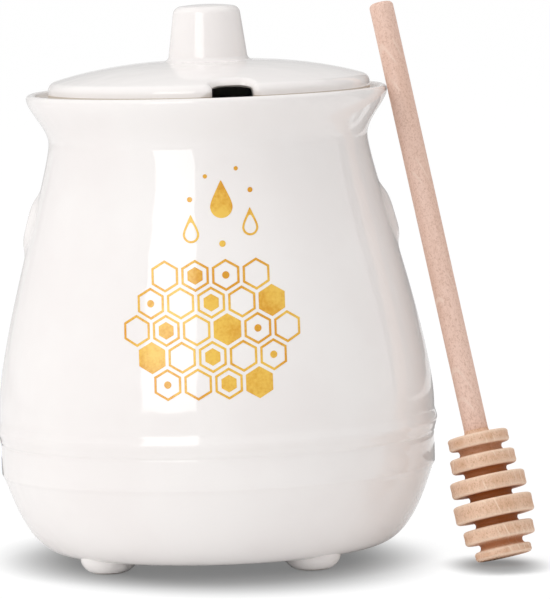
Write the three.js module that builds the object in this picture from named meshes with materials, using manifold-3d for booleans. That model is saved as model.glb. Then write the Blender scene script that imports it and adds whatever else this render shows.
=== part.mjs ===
// A porcelain honey pot on four bun feet, with a loose notched lid and a beech dipper
// that leans on its rim. Millimetres, +Z up, standing on z = 0 and centred on its footprint.
import * as THREE from "three";
import { mergeVertices } from "three/addons/utils/BufferGeometryUtils.js";
import Module from "manifold-3d";

const wasm = await Module();
wasm.setup();

// Clearances shared by the whole set
const gap = 0.3; // between pieces that do not seat face to face
const overrun = 5; // how far a cutter runs past what it cuts
const weldDistance = 1e-4; // vertices closer than this are one

// Pot body, outside
const footLift = 3; // table to the flat underside
const potHeight = 112; // table to the top of the rim
const baseRadius = 34; // flat part of the underside
const bowlHeight = 18.7; // underside to the top of the rounded bowl
const bellyRadius = 51.85; // wall under the bead
const bandInset = 0.2; // the band lies this far inside the belly
const bandLip = 0.65; // and stands this far out from the bowl
const bandFillet = 0.9;
const bandWidth = 6.2;
const grooveDepth = 0.25;
const grooveWidth = 0.8;
const beadWidth = 6.6;
const beadProud = 0.6;
const neckRadius = 37.9;
const neckBelowRim = 11.7;
const rimFlare = 5; // how far the rim reaches out from the neck
const lipRadius = 0.95; // rounding of the rim's edge
const bowlHandleShares = [0.53, 0.45]; // Bezier handles of the bowl, of its run out and its rise
const bowlLeanShare = 0.19; // how far inward the second handle starts, of the run out
const wallHandleShares = [0.26, 0.104]; // handles at belly and neck, of the wall's height
const flareHandleShares = [0.36, 0.26]; // handles at neck and lip, of the flare's height

// Pot body, inside
const wallThickness = 3.3;
const ledgeDepth = 1.95; // rim top to the ledge that carries the lid
const rimFillet = 1; // between the rim's inner wall and the ledge
const ledgeEdge = 0.8; // rounding of the ledge's inner edge

// Bun feet, under the rounding of the bowl
const footRadius = 6.5;
const footPadRadius = 2.6;
const footSunk = 6; // uncut height above the underside, inside the wall
const footBeyondBase = 1; // centres outside the flat of the underside
const footBearing = 38.3; // degrees from straight ahead to the front right foot

// Side lugs, low oval bosses on the shoulder
const lugHeight = 17.5; // of the uncut pebble
const lugWidth = 11.5;
const lugProud = 1.35;
const lugDepth = 2.4; // half thickness of the pebble
const lugBelowNeck = 20.3;

// Lid
const lidClearance = 2.8; // lid's edge to the rim's inner wall
const lidEdgeHeight = 4.75; // seat plane to the shoulder of the dome
const lidEdgeRound = 1.45;
const lidRise = 4.2; // shoulder to the crown
const domeFullness = 2.6; // exponent of the dome's curve
const lidThickness = 3.3;
const seatStep = 2.55; // how far the ring's seat lies above the lid's own seat
const ringClearance = 1; // locating ring to the throat
const ringThickness = 2.6;
const ringReach = 7; // how far the ring hangs below the ledge
const ringRound = 0.8;

// Notch in the lid for the dipper's handle
const notchSideClearance = 1.9; // each side of the handle
const notchBackClearance = 0.5; // handle to the notch's end, when it lies against the throat
const notchCornerShare = 0.9; // of half the notch's width
const notchLeftFlare = 5;
const notchRightFlare = 2.5;
const notchBearing = 11.2; // degrees from straight ahead, to the right
const ringCutAllowance = 1.5; // the locating ring stops this far short of the notch

// Knob
const knobBaseRadius = 9.3;
const knobTopRadius = 8;
const knobFillet = 1.5;
const knobSeatMargin = 0.4; // flat of the lid beyond the fillet
const knobHeight = 13.4;
const knobTopRound = 2;
const knobCrown = 0.4; // swell of the top face

// Dipper
const handleBeyondRim = 21; // the dipper reaches this far past the rim it leans on
const handleRadius = 2.85;
const handleRound = 1.1;
const spigotShoulder = 0.65;
const spigotLength = 11;
const headLength = 30.6;
const headRadius = 9.45;
const coreShare = 0.53; // of headRadius
const collarHeight = 1.1;
const collarFlare = 1.05; // beyond the handle
const ringEdgeRound = 0.7;
const tipRound = 0.9;
const standOff = 10.04; // pot's widest radius to the head's widest ring
const standBearing = -22.3; // degrees from +X to where the tip stands
const contactBearing = -7.9; // degrees from +X to where the handle meets the rim
const headRingShares = [0.714, 0.884, 1, 0.947, 0.82, 0.762]; // radii from the tip up, of headRadius
const headThicknessShares = [0.073, 0.11, 0.14, 0.123, 0.113, 0.097]; // of headLength

// Facets
const potSides = 52;
const knobSides = 32;
const dipperSides = 22;
const smallSides = 24;
const outsideSteps = { bowl: 7, wall: 11 };
const insideSteps = { bowl: 5, wall: 7 };

const porcelain = new THREE.MeshStandardMaterial({ color: 0xf1eeea, roughness: 0.12, metalness: 0 });
const headWood = new THREE.MeshStandardMaterial({ color: 0xe2bea0, roughness: 0.6, metalness: 0 });
const handleWood = new THREE.MeshStandardMaterial({ color: 0xdcae92, roughness: 0.6, metalness: 0 });

// Heights and radii that several pieces share
const bandRadius = bellyRadius - bandInset;
const bowlRadius = bandRadius - bandLip;
const rimRadius = neckRadius + rimFlare;
const bandFootHeight = footLift + bowlHeight;
const bandTopHeight = bandFootHeight + bandFillet + bandWidth;
const beadFootHeight = bandTopHeight + grooveWidth;
const beadTopHeight = beadFootHeight + beadWidth;
const neckHeight = potHeight - neckBelowRim;
const throatRadius = neckRadius - wallThickness;
const ledgeHeight = potHeight - ledgeDepth;
const rimInnerRadius = rimRadius - 2 * lipRadius;
const lidRadius = rimInnerRadius - lidClearance;
const ringOuterRadius = throatRadius - ringClearance;
const ringInnerRadius = ringOuterRadius - ringThickness;
const knobSeatRadius = knobBaseRadius + knobFillet + knobSeatMargin;
const spigotRadius = handleRadius - spigotShoulder;
const radians = THREE.MathUtils.degToRad;

function point(radius, height) {
  return new THREE.Vector2(radius, height);
}

// Points on an ellipse in the outline's plane, angles in degrees from the outward direction.
function oval(centre, across, up, start, end, steps) {
  return Array.from({ length: steps + 1 }, (_, i) => {
    const angle = radians(start + ((end - start) * i) / steps);
    return point(centre.x + across * Math.cos(angle), centre.y + up * Math.sin(angle));
  });
}

function arc(centre, radius, start, end, steps) {
  return oval(centre, radius, radius, start, end, steps);
}

// The outline moved sideways: outward for a positive distance, inward for a negative one.
function offsetOutline(points, distance) {
  return points.map((p, i) => {
    const before = points[Math.max(i - 1, 0)];
    const after = points[Math.min(i + 1, points.length - 1)];
    const along = after.clone().sub(before).normalize();
    return point(p.x + along.y * distance, p.y - along.x * distance);
  });
}

// A solid of revolution about Z. The outline runs from the bottom up the outside.
function revolve(outline, sides) {
  return new THREE.LatheGeometry(outline, sides).rotateX(Math.PI / 2);
}

function toSolid(geometry) {
  const bare = geometry.clone();
  bare.deleteAttribute("normal");
  bare.deleteAttribute("uv");
  const merged = mergeVertices(bare, weldDistance);
  const corners = merged.index ? merged.index.array : merged.attributes.position.array.map((_, i) => i);
  const kept = [];
  for (let i = 0; i < corners.length; i += 3) {
    const [a, b, c] = [corners[i], corners[i + 1], corners[i + 2]];
    if (a !== b && b !== c && c !== a) kept.push(a, b, c);
  }
  return new wasm.Manifold(
    new wasm.Mesh({
      numProp: 3,
      vertProperties: merged.attributes.position.array,
      triVerts: new Uint32Array(kept),
    }),
  );
}

function toGeometry(solid) {
  const mesh = solid.getMesh();
  const geometry = new THREE.BufferGeometry();
  geometry.setAttribute("position", new THREE.BufferAttribute(mesh.vertProperties, 3));
  geometry.setIndex(new THREE.BufferAttribute(mesh.triVerts, 1));
  geometry.computeVertexNormals();
  return geometry;
}

function cut(geometry, cutter) {
  return toGeometry(toSolid(geometry).subtract(toSolid(cutter)));
}

function piece(name, geometry, material) {
  const mesh = new THREE.Mesh(geometry, material);
  mesh.name = name;
  return mesh;
}

// The rounded bowl, from the flat underside out to the foot of the band.
function bowlLine(steps) {
  const run = bowlRadius - baseRadius;
  const curve = new THREE.CubicBezierCurve(
    point(baseRadius, footLift),
    point(baseRadius + run * bowlHandleShares[0], footLift),
    point(bowlRadius - run * bowlLeanShare, bandFootHeight - bowlHeight * (1 - bowlHandleShares[1])),
    point(bowlRadius, bandFootHeight),
  );
  return curve.getPoints(steps);
}

// The long wall, from above the bead in to the neck.
function wallLine(steps) {
  const rise = neckHeight - beadTopHeight;
  const curve = new THREE.CubicBezierCurve(
    point(bellyRadius, beadTopHeight),
    point(bellyRadius, beadTopHeight + rise * wallHandleShares[0]),
    point(neckRadius, neckHeight - rise * wallHandleShares[1]),
    point(neckRadius, neckHeight),
  );
  return curve.getPoints(steps);
}

// The flare, from the neck out to the side of the lip.
function flareLine() {
  const lipHeight = potHeight - lipRadius;
  const rise = lipHeight - neckHeight;
  const curve = new THREE.CubicBezierCurve(
    point(neckRadius, neckHeight),
    point(neckRadius, neckHeight + rise * flareHandleShares[0]),
    point(rimRadius, lipHeight - rise * flareHandleShares[1]),
    point(rimRadius, lipHeight),
  );
  return curve.getPoints(7).slice(1);
}

// The bead swells from the wall and dies back into it, above the band's groove.
function beadLine() {
  const steps = 6;
  return Array.from({ length: steps }, (_, i) => {
    const swell = Math.sin((Math.PI * i) / steps) ** 2;
    return point(bellyRadius + beadProud * swell, beadFootHeight + (beadWidth * i) / steps);
  });
}

function bandLine() {
  return [
    point(bandRadius, bandFootHeight + bandFillet),
    point(bandRadius, bandTopHeight),
    point(bandRadius - grooveDepth, bandTopHeight + grooveWidth / 2),
  ];
}

// The pot's outside from the middle of its underside up to the neck.
function outsideLine() {
  const bowl = bowlLine(outsideSteps.bowl);
  return [point(0, footLift), ...bowl, ...bandLine(), ...beadLine(), ...wallLine(outsideSteps.wall)];
}

function potShell() {
  const lip = point(rimRadius - lipRadius, potHeight - lipRadius);
  const rimCorner = point(rimInnerRadius - rimFillet, ledgeHeight + rimFillet);
  const ledgeCorner = point(throatRadius + ledgeEdge, ledgeHeight - ledgeEdge);
  const middle = [...bowlLine(insideSteps.bowl), ...wallLine(insideSteps.wall)];
  const inside = offsetOutline(middle, -wallThickness);
  return revolve(
    [
      ...outsideLine(),
      ...flareLine(),
      ...arc(lip, lipRadius, 0, 180, 4).slice(1),
      ...arc(rimCorner, rimFillet, 0, -90, 3).slice(1),
      ...arc(ledgeCorner, ledgeEdge, 90, 180, 3),
      ...inside.reverse(),
      point(0, footLift + wallThickness),
    ],
    potSides,
  );
}

// The body with its clearance, which trims whatever is luted onto it.
function potEnvelope() {
  return revolve([...offsetOutline(outsideLine(), gap), point(0, neckHeight)], potSides);
}

function bunFoot(bearing) {
  const half = (footLift + footSunk) / 2;
  const side = oval(point(footPadRadius, half), footRadius - footPadRadius, half, -90, 90, 8);
  const bun = revolve([point(0, 0), ...side, point(0, 2 * half)], smallSides);
  const angle = radians(bearing);
  const footCircle = baseRadius + footBeyondBase;
  bun.translate(footCircle * Math.sin(angle), -footCircle * Math.cos(angle), 0);
  return cut(bun, potEnvelope());
}

// A pebble laid along the sloping wall and trimmed to it.
function sideLug(side) {
  const wall = wallLine(outsideSteps.wall);
  const middle = neckHeight - lugBelowNeck;
  const above = wall.findIndex((p) => p.y > middle);
  const [low, high] = [wall[above - 1], wall[above]];
  const share = (middle - low.y) / (high.y - low.y);
  const surface = low.x + (high.x - low.x) * share;
  const slope = Math.atan2(low.x - high.x, high.y - low.y);
  const pebble = new THREE.SphereGeometry(1, smallSides, smallSides / 2);
  pebble.scale(lugDepth, lugWidth / 2, lugHeight / 2);
  pebble.rotateY(-slope);
  pebble.translate(surface + (lugProud - lugDepth) / Math.cos(slope), 0, middle);
  if (side < 0) pebble.rotateZ(Math.PI);
  return cut(pebble, potEnvelope());
}

// The notch in plan: round-ended, and flared where it leaves the edge.
function notchCutter(allowance) {
  const half = handleRadius + notchSideClearance + allowance;
  const corner = notchCornerShare * half;
  const end = throatRadius - 2 * handleRadius - notchBackClearance;
  const leftFlare = notchLeftFlare - allowance;
  const rightFlare = notchRightFlare;
  const outline = new THREE.Shape();
  outline.moveTo(-half - leftFlare, -lidRadius - overrun);
  outline.lineTo(-half - leftFlare, -lidRadius);
  outline.absarc(-half - leftFlare, leftFlare - lidRadius, leftFlare, -Math.PI / 2, 0, false);
  outline.absarc(corner - half, -end - corner, corner, Math.PI, Math.PI / 2, true);
  outline.absarc(half - corner, -end - corner, corner, Math.PI / 2, 0, true);
  outline.absarc(half + rightFlare, rightFlare - lidRadius, rightFlare, Math.PI, 1.5 * Math.PI, false);
  outline.lineTo(half + rightFlare, -lidRadius - overrun);
  const depth = ringReach + lidEdgeHeight + lidRise + 2 * overrun;
  const cutter = new THREE.ExtrudeGeometry(outline, { depth, bevelEnabled: false, curveSegments: 5 });
  cutter.translate(0, 0, ledgeHeight - ringReach - overrun);
  return cutter.rotateZ(radians(notchBearing));
}

// Height of the lid's upper face at a radius.
function domeHeight(radius) {
  const shoulder = lidRadius - lidEdgeRound;
  const fall = (radius / shoulder) ** domeFullness;
  return ledgeHeight + lidEdgeHeight + lidRise * (1 - fall);
}

function lidDome() {
  const seat = ledgeHeight;
  const ringSeat = seat + seatStep;
  const shoulder = lidRadius - lidEdgeRound;
  const steps = 8;
  const crownLine = Array.from({ length: steps + 1 }, (_, i) => {
    const radius = shoulder + ((knobSeatRadius - shoulder) * i) / steps;
    return point(radius, domeHeight(radius));
  });
  const hollowSteps = 4;
  const hollowEdge = ringInnerRadius - gap;
  const hollowLine = Array.from({ length: hollowSteps + 1 }, (_, i) => {
    const radius = (hollowEdge * i) / hollowSteps;
    return point(radius, domeHeight(radius) - lidThickness);
  });
  const lower = point(shoulder, seat + lidEdgeRound);
  const upper = point(shoulder, seat + lidEdgeHeight - lidEdgeRound);
  const outline = [
    ...hollowLine.slice(0, -1),
    point(hollowEdge, ringSeat),
    point(ringOuterRadius + gap, ringSeat),
    point(ringOuterRadius + gap, seat),
    ...arc(lower, lidEdgeRound, -90, 0, 3),
    ...arc(upper, lidEdgeRound, 0, 70, 3),
    ...crownLine,
    point(0, domeHeight(knobSeatRadius)),
  ];
  return cut(revolve(outline, potSides), notchCutter(0));
}

function lidLocatingRing() {
  const top = ledgeHeight + seatStep;
  const bottom = ledgeHeight - ringReach;
  const inner = point(ringInnerRadius + ringRound, bottom + ringRound);
  const outer = point(ringOuterRadius - ringRound, bottom + ringRound);
  const outline = [
    point(ringInnerRadius, top),
    ...arc(inner, ringRound, 180, 270, 2),
    ...arc(outer, ringRound, -90, 0, 2),
    point(ringOuterRadius, top),
    point(ringInnerRadius, top),
  ];
  return cut(revolve(outline, potSides), notchCutter(ringCutAllowance));
}

function lidKnob() {
  const seat = domeHeight(knobSeatRadius);
  const top = seat + knobHeight;
  const flare = point(knobBaseRadius + knobFillet, seat + knobFillet);
  const corner = point(knobTopRadius - knobTopRound, top - knobTopRound - knobCrown);
  return revolve(
    [
      point(0, seat),
      ...arc(flare, knobFillet, 270, 180, 3),
      ...arc(corner, knobTopRound, 0, 75, 4),
      point(knobTopRadius / 2, top - knobCrown / 4),
      point(0, top),
    ],
    knobSides,
  );
}

// Six rounded rings on a core, with round-bottomed grooves between them.
function dipperHead() {
  const solid = headThicknessShares.reduce((sum, share) => sum + share * headLength, 0);
  const grooves = headRingShares.length - 1;
  const grooveHeight = (headLength - solid - collarHeight) / grooves;
  const round = grooveHeight / 2;
  const coreRadius = headRadius * coreShare;
  const outline = [point(0, 0)];
  let height = 0;
  headRingShares.forEach((share, i) => {
    const radius = headRadius * share;
    const top = height + headLength * headThicknessShares[i];
    const edge = i === 0 ? tipRound : ringEdgeRound;
    outline.push(...arc(point(radius - edge, height + edge), edge, -90, 0, 2));
    outline.push(...arc(point(radius - ringEdgeRound, top - ringEdgeRound), ringEdgeRound, 0, 90, 2));
    if (i < grooves) outline.push(...arc(point(coreRadius + round, top + round), round, 270, 90, 3));
    height = top + grooveHeight;
  });
  const boreRadius = spigotRadius + gap;
  const boreFloor = headLength - spigotLength - gap;
  outline.push(
    point(handleRadius + collarFlare, headLength - collarHeight),
    point(handleRadius, headLength),
    point(boreRadius, headLength),
    point(boreRadius, boreFloor),
    point(0, boreFloor),
  );
  return revolve(outline, dipperSides);
}

function dipperHandle(dipperLength) {
  const shoulder = headLength + gap;
  const end = point(handleRadius - handleRound, dipperLength - handleRound);
  return revolve(
    [
      point(0, headLength - spigotLength),
      point(spigotRadius, headLength - spigotLength),
      point(spigotRadius, shoulder),
      point(handleRadius, shoulder),
      ...arc(end, handleRound, 0, 90, 3),
      point(0, dipperLength),
    ],
    dipperSides,
  );
}

// A point in plan, at a distance from the pot's axis and a bearing in degrees from +X.
function plan(distance, bearing) {
  return new THREE.Vector2(distance, 0).rotateAround(new THREE.Vector2(), radians(bearing));
}

// The dipper stands on the edge of its tip, clear of the belly, and leans on the rim.
function dipperStance() {
  const widest = Math.max(bandRadius, bellyRadius + beadProud);
  const stand = plan(widest + standOff + headRadius, standBearing);
  const tipRadius = headRadius * headRingShares[0] - tipRound;
  let lean = 0;
  let leanIn = 0; // the part of the lean that is towards the pot's axis
  let way;
  let tipHeight;
  let reach; // from the tip to the rim, along the dipper
  for (let pass = 0; pass < 6; pass += 1) {
    const besideRim = (lipRadius + gap + handleRadius) / Math.cos(leanIn);
    const contact = plan(rimRadius - lipRadius + besideRim, contactBearing);
    way = contact.clone().sub(stand);
    tipHeight = tipRadius * Math.sin(lean) + tipRound * (1 - Math.cos(lean));
    const rise = potHeight - lipRadius - tipHeight;
    lean = Math.atan2(way.length(), rise);
    leanIn = Math.atan2(-way.dot(contact.normalize()), rise);
    reach = Math.hypot(way.length(), rise);
  }
  return { stand, way: way.normalize(), tipHeight, lean, reach };
}

function leaningDipper() {
  const { stand, way, tipHeight, lean, reach } = dipperStance();
  const dipper = new THREE.Group();
  dipper.add(piece("dipper_handle", dipperHandle(reach + handleBeyondRim), handleWood));
  dipper.add(piece("dipper_head", dipperHead(), headWood));
  dipper.position.set(stand.x, stand.y, tipHeight);
  dipper.setRotationFromAxisAngle(new THREE.Vector3(-way.y, way.x, 0), lean);
  return dipper;
}

function pot() {
  const body = new THREE.Group();
  body.add(piece("pot_shell", potShell(), porcelain));
  body.add(piece("foot_front_right", bunFoot(footBearing), porcelain));
  body.add(piece("foot_back_right", bunFoot(footBearing + 90), porcelain));
  body.add(piece("foot_back_left", bunFoot(footBearing + 180), porcelain));
  body.add(piece("foot_front_left", bunFoot(footBearing + 270), porcelain));
  body.add(piece("lug_right", sideLug(1), porcelain));
  body.add(piece("lug_left", sideLug(-1), porcelain));
  return body;
}

function lid() {
  const cover = new THREE.Group();
  cover.add(piece("lid_dome", lidDome(), porcelain));
  cover.add(piece("lid_locating_ring", lidLocatingRing(), porcelain));
  cover.add(piece("lid_knob", lidKnob(), porcelain));
  return cover;
}

const group = new THREE.Group();
group.add(pot(), lid(), leaningDipper());
const footprint = new THREE.Box3().setFromObject(group, true).getCenter(new THREE.Vector3());
group.position.set(-footprint.x, -footprint.y, 0);

export default group;
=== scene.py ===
from math import asin, atan2, cos, degrees, hypot, pi, radians, sin, sqrt

import bmesh
import bpy
from mathutils import Matrix, Quaternion, Vector
from mathutils.geometry import interpolate_bezier


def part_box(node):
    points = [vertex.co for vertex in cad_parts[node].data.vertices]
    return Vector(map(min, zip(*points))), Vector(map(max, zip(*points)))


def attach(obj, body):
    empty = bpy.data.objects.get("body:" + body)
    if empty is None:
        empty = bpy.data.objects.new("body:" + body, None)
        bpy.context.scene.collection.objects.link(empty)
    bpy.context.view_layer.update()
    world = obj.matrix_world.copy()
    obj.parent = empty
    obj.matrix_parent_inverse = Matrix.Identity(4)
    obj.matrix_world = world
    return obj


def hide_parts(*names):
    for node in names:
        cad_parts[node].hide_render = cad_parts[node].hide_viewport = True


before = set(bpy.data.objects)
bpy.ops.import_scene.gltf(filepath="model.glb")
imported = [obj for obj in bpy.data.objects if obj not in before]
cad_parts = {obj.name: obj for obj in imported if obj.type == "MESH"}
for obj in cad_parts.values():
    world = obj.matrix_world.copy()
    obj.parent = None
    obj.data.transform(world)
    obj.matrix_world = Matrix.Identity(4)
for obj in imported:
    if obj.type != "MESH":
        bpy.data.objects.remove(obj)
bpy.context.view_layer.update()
bpy.ops.object.select_all(action="DESELECT")

mm = 0.001
weldReach = mm / 1000  # points nearer than this are one
fullTurn = 2 * pi
shellLow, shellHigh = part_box("pot_shell")
potAxis = Vector(((shellLow.x + shellHigh.x) / 2, (shellLow.y + shellHigh.y) / 2, 0))
print("frame loaded, pot axis at", round(potAxis.x / mm, 3), "mm")


# Outlines are lists of (radius, height) in millimetres, drawn in the plane y = 0.
def ovalPoints(centre, across, up, start, end, steps):
    points = []
    for i in range(steps + 1):
        angle = radians(start + (end - start) * i / steps)
        points.append((centre[0] + across * cos(angle), centre[1] + up * sin(angle)))
    return points


def arcPoints(centre, radius, start, end, steps):
    return ovalPoints(centre, radius, radius, start, end, steps)


def curvePoints(start, handle, otherHandle, end, steps):
    corners = [Vector((p[0], p[1], 0)) for p in (start, handle, otherHandle, end)]
    return [(p.x, p.y) for p in interpolate_bezier(*corners, steps + 1)]


def uprightPoints(start, end, handles, steps):
    # a curve that leaves and arrives straight up
    rise = end[1] - start[1]
    handle = (start[0], start[1] + handles[0] * rise)
    otherHandle = (end[0], end[1] - handles[1] * rise)
    return curvePoints(start, handle, otherHandle, end, steps)


def crownPoints(edge, top, steps):
    # a shallow dome from an edge to the axis
    shares = [1 - i / steps for i in range(1, steps + 1)]
    return [(edge[0] * share, top - (top - edge[1]) * share ** 2) for share in shares]


def offsetPoints(points, distance):
    moved = []
    for i, p in enumerate(points):
        before, after = points[max(i - 1, 0)], points[min(i + 1, len(points) - 1)]
        along = Vector((after[0] - before[0], after[1] - before[1])).normalized()
        moved.append((p[0] + along.y * distance, p[1] - along.x * distance))
    return moved


def eased(share):
    # from none to one with a soft start and end
    return share * share * (3 - 2 * share)


# Selection and edit mode
def choose(obj):
    bpy.ops.object.select_all(action="DESELECT")
    obj.select_set(True)
    bpy.context.view_layer.objects.active = obj


def editMesh(obj):
    choose(obj)
    bpy.ops.object.mode_set(mode="EDIT")
    bpy.ops.mesh.select_mode(type="VERT")
    return bmesh.from_edit_mesh(obj.data)


def selectMesh():
    bpy.ops.mesh.select_all(action="SELECT")


def leaveEdit():
    bpy.ops.object.mode_set(mode="OBJECT")


def settle(obj):
    # the object's place goes into its mesh
    choose(obj)
    bpy.ops.object.transform_apply(location=True, rotation=True, scale=True)
    bpy.ops.object.select_all(action="DESELECT")


def smoothShade(obj, angle):
    choose(obj)
    bpy.ops.object.shade_smooth_by_angle(angle=radians(angle))
    bpy.ops.object.select_all(action="DESELECT")


def applyModifier(obj, name):
    bpy.context.view_layer.objects.active = obj
    bpy.ops.object.modifier_apply(modifier=name)


def drawOutline(name, outline):
    # one vertex, extruded from point to point
    points = [Vector((r * mm, 0, z * mm)) for r, z in outline]
    bpy.ops.mesh.primitive_plane_add(size=mm)
    obj = bpy.context.object
    obj.name = obj.data.name = name
    editMesh(obj)
    selectMesh()
    bpy.ops.mesh.merge(type="CENTER")
    bpy.ops.transform.translate(value=points[0])
    for before, after in zip(points, points[1:]):
        bpy.ops.mesh.extrude_region_move(TRANSFORM_OT_translate={"value": after - before})
    return obj


def spinOutline(obj, steps, turn=fullTurn):
    # the drawn outline is still in edit mode
    selectMesh()
    bpy.ops.mesh.spin(steps=steps, angle=turn, center=(0, 0, 0), axis=(0, 0, 1))
    selectMesh()
    bpy.ops.mesh.remove_doubles(threshold=weldReach)
    bpy.ops.mesh.normals_make_consistent(inside=False)
    leaveEdit()
    return obj


def onPotAxis(obj, toRight=0.0):
    obj.location = potAxis + Vector((toRight * mm, 0, 0))
    settle(obj)


# Pot
potShape = {
    "footLift": 3, "height": 112,
    "baseRadius": 36.8, "bowlRadius": 51, "bowlHeight": 17.9,
    "bandRadius": 51.65, "bandFillet": 1.3, "bandWidth": 6.7,
    "grooveDepth": 0.2, "grooveWidth": 1,
    "bellyRadius": 51.85, "beadWidth": 5.2, "beadProud": 0.62, "wallFoot": 36.2,
    "neckRadius": 37.9, "neckHeight": 100.3, "rimRadius": 42.9, "lipRadius": 0.95,
    "wall": 3.3, "ledgeDepth": 1.95, "rimFillet": 1, "ledgeEdge": 0.8,
    "bowlLeaves": 0.53, "bowlArrives": (0.2, 0.47),  # where the curves' handles lie, as shares
    "wallHandles": (0.26, 0.104), "flareHandles": (0.36, 0.26),
    "glazeSoftening": 4,  # smoothing passes over the band and the bead
    "smoothAngle": 50,
    "steps": {
        "spin": 256, "base": 12, "bowl": 26, "fillet": 6, "band": 8, "groove": 8, "bead": 24,
        "wall": 60, "flare": 20, "lip": 14, "corner": 7, "innerBowl": 14, "innerWall": 34, "floor": 8,
    },
}
ledgeHeight = potShape["height"] - potShape["ledgeDepth"]


def potHeights():
    # the foot and the top of the band, and the foot of the bead
    s = potShape
    bandFoot = s["footLift"] + s["bowlHeight"]
    bandTop = bandFoot + s["bandFillet"] + s["bandWidth"]
    return bandFoot, bandTop, bandTop + s["grooveWidth"]


def bowlPoints(steps):
    s = potShape
    bandFoot = potHeights()[0]
    run = s["bowlRadius"] - s["baseRadius"]
    back, down = s["bowlArrives"]
    start, end = (s["baseRadius"], s["footLift"]), (s["bowlRadius"], bandFoot)
    handle = (s["baseRadius"] + s["bowlLeaves"] * run, s["footLift"])
    otherHandle = (s["bowlRadius"] - back * run, bandFoot - down * s["bowlHeight"])
    return curvePoints(start, handle, otherHandle, end, steps)


def wallPoints(steps):
    s = potShape
    start, end = (s["bellyRadius"], s["wallFoot"]), (s["neckRadius"], s["neckHeight"])
    return uprightPoints(start, end, s["wallHandles"], steps)


def flarePoints(steps):
    s = potShape
    start, end = (s["neckRadius"], s["neckHeight"]), (s["rimRadius"], s["height"] - s["lipRadius"])
    return uprightPoints(start, end, s["flareHandles"], steps)


def bandPoints():
    # band, groove and bead, softened as glaze softens them
    s, steps = potShape, potShape["steps"]
    bandFoot, bandTop, beadFoot = potHeights()
    points = []
    for i in range(steps["fillet"] + 1):
        share = i / steps["fillet"]
        radius = s["bowlRadius"] + (s["bandRadius"] - s["bowlRadius"]) * eased(share)
        points.append((radius, bandFoot + s["bandFillet"] * share))
    for i in range(1, steps["band"]):
        height = bandFoot + s["bandFillet"] + s["bandWidth"] * i / steps["band"]
        points.append((s["bandRadius"], height))
    for i in range(steps["groove"] + 1):
        share = i / steps["groove"]
        dip = s["grooveDepth"] * sin(pi * share) ** 2
        radius = s["bandRadius"] + (s["bellyRadius"] - s["bandRadius"]) * share - dip
        points.append((radius, bandTop + s["grooveWidth"] * share))
    for i in range(1, steps["bead"]):
        share = i / steps["bead"]
        swell = sin(pi * share) ** 2
        points.append((s["bellyRadius"] + s["beadProud"] * swell, beadFoot + s["beadWidth"] * share))
    for _ in range(s["glazeSoftening"]):
        radii = [p[0] for p in points]
        for i in range(1, len(points) - 1):
            points[i] = ((radii[i - 1] + 2 * radii[i] + radii[i + 1]) / 4, points[i][1])
    return points


wallLine = wallPoints(potShape["steps"]["wall"])


def wallRadius(height):
    for low, high in zip(wallLine, wallLine[1:]):
        if low[1] <= height <= high[1]:
            share = (height - low[1]) / (high[1] - low[1])
            return low[0] + (high[0] - low[0]) * share
    return wallLine[0][0]


def potOutline():
    s, steps = potShape, potShape["steps"]
    throat = s["neckRadius"] - s["wall"]
    rimInner = s["rimRadius"] - 2 * s["lipRadius"]
    lip = (s["rimRadius"] - s["lipRadius"], s["height"] - s["lipRadius"])
    rimCorner = (rimInner - s["rimFillet"], ledgeHeight + s["rimFillet"])
    ledgeCorner = (throat + s["ledgeEdge"], ledgeHeight - s["ledgeEdge"])
    outside = [(i * s["baseRadius"] / steps["base"], s["footLift"]) for i in range(steps["base"])]
    outside += bowlPoints(steps["bowl"]) + bandPoints()[1:]
    outside += wallLine + flarePoints(steps["flare"])[1:]
    rim = arcPoints(lip, s["lipRadius"], 0, 180, steps["lip"])[1:]
    rim += arcPoints(rimCorner, s["rimFillet"], 0, -90, steps["corner"])[1:]
    rim += arcPoints(ledgeCorner, s["ledgeEdge"], 90, 180, steps["corner"])
    inside = offsetPoints(bowlPoints(steps["innerBowl"]) + wallPoints(steps["innerWall"]), -s["wall"])
    inside.reverse()
    edge, floor = inside[-1][0], s["footLift"] + s["wall"]
    flat = [(edge * i / steps["floor"], floor) for i in reversed(range(steps["floor"]))]
    return outside + rim + inside + flat


lugShape = {
    "height": 80.6, "above": 8.6, "below": 7.2, "halfWidth": 5.6, "proud": 1.38, "fullness": 2.4,
    "skin": 0.5,  # how deep the part of the wall is that is raised
}


def raiseLugs(obj):
    # a low oval boss on each shoulder, raised along the wall's own normal
    s = lugShape
    group = obj.vertex_groups.new(name="lugs")
    for v in obj.data.vertices:
        radius = hypot(v.co.x, v.co.y) / mm
        height = v.co.z / mm
        across = atan2(v.co.y, abs(v.co.x)) * radius
        reach = s["above"] if height > s["height"] else s["below"]
        far = hypot(across / s["halfWidth"], (height - s["height"]) / reach)
        outer = radius > wallRadius(height) - s["skin"]
        if far < 1 and outer:
            group.add([v.index], eased(1 - far ** s["fullness"]), "REPLACE")
    displace = obj.modifiers.new("lugs", "DISPLACE")
    displace.vertex_group = "lugs"
    displace.mid_level = 0
    displace.strength = s["proud"] * mm
    applyModifier(obj, "lugs")
    obj.vertex_groups.clear()


def makePot():
    obj = drawOutline("potBody", potOutline())
    spinOutline(obj, potShape["steps"]["spin"])
    raiseLugs(obj)
    onPotAxis(obj)
    smoothShade(obj, potShape["smoothAngle"])
    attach(obj, "pot")
    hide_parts("pot_shell", "lug_left", "lug_right")
    return obj


# Bun feet
footShape = {
    "circle": 34, "bearing": 39.4, "radius": 6.7, "padRadius": 2.6, "padRing": 0.6,
    "height": 7.4, "cutHeight": 4.3, "smoothAngle": 40, "steps": {"spin": 64, "round": 40},
}


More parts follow.
